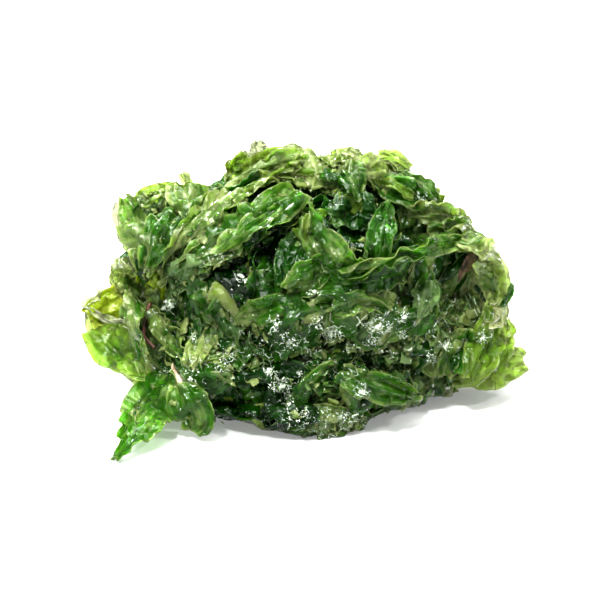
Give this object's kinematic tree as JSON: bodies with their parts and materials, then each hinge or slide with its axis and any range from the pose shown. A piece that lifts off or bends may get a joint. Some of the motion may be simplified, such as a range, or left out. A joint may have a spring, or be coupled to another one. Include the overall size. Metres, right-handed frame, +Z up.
{
  "type": "sea lettuce",
  "caption": "Heap of wet, folded and salted green seaweed blades, a low mound of thin translucent sheets that rests on a flat underside.",
  "frame": {"origin": "middle of the clump's bounding box, on the surface that it rests on", "axes": "+Z up, +X to the right seen from the front, -Y towards the front"},
  "size_m": [0.1264, 0.0928, 0.0752],
  "materials": {
    "deep_green": "wet, thick layered blade, dark green",
    "leaf_green": "wet, translucent green blade",
    "pale_green": "wet, single yellow-green blade, light shines through",
    "red_stem": "thin reddish brown stem",
    "pale_twig": "dry beige twig",
    "brown_scrap": "wilted brown scrap of blade"
  },
  "bodies": {
    "root": {"bed_blade": "deep_green", "lower_packed_blade": "deep_green", "middle_packed_blade": "deep_green", "upper_packed_blade": "deep_green", "crown_packed_blade": "deep_green", "back_low_blade": "pale_green", "back_cross_blade": "deep_green", "back_middle_blade": "deep_green", "back_left_blade": "leaf_green", "back_right_blade": "leaf_green", "left_back_blade": "deep_green", "left_side_blade": "leaf_green", "right_back_blade": "deep_green", "right_foot_blade": "pale_green", "left_rear_crown_blade": "leaf_green", "right_rear_crown_blade": "deep_green", "back_crown_blade": "leaf_green", "bottom_fringe_blade": "leaf_green", "right_low_blade": "pale_green", "lower_left_blade": "deep_green", "dark_hollow_blade": "deep_green", "left_low_blade": "leaf_green", "right_front_blade": "leaf_green", "left_front_blade": "leaf_green", "chopped_front_blade": "deep_green", "lower_leaf_blade": "pale_green", "front_left_band": "leaf_green", "front_right_band": "leaf_green", "grey_leaf_blade": "deep_green", "dark_left_blade": "deep_green", "centre_leaf_blade": "leaf_green", "upright_centre_blade": "leaf_green", "right_shoulder_blade": "leaf_green", "left_fold_blade": "leaf_green", "second_left_blade": "leaf_green", "left_shoulder_blade": "leaf_green", "upper_left_blade": "pale_green", "left_loop_blade": "pale_green", "crown_left_blade": "pale_green", "crown_ridge_blade": "leaf_green", "crown_right_blade": "pale_green", "hanging_leaf_blade": "pale_green", "right_crest_blade": "leaf_green", "glossy_curl_blade": "leaf_green", "long_ribbon_blade": "leaf_green", "brown_scrap": "brown_scrap", "front_left_short_blade": "pale_green", "front_left_tip_blade": "leaf_green", "left_pocket_blade": "pale_green", "right_bright_blade": "pale_green", "right_tip_blade": "pale_green", "crown_cup_blade": "pale_green", "crown_disc_blade": "pale_green", "red_stem": "red_stem", "pale_twig": "pale_twig"}
  },
  "joints": []
}
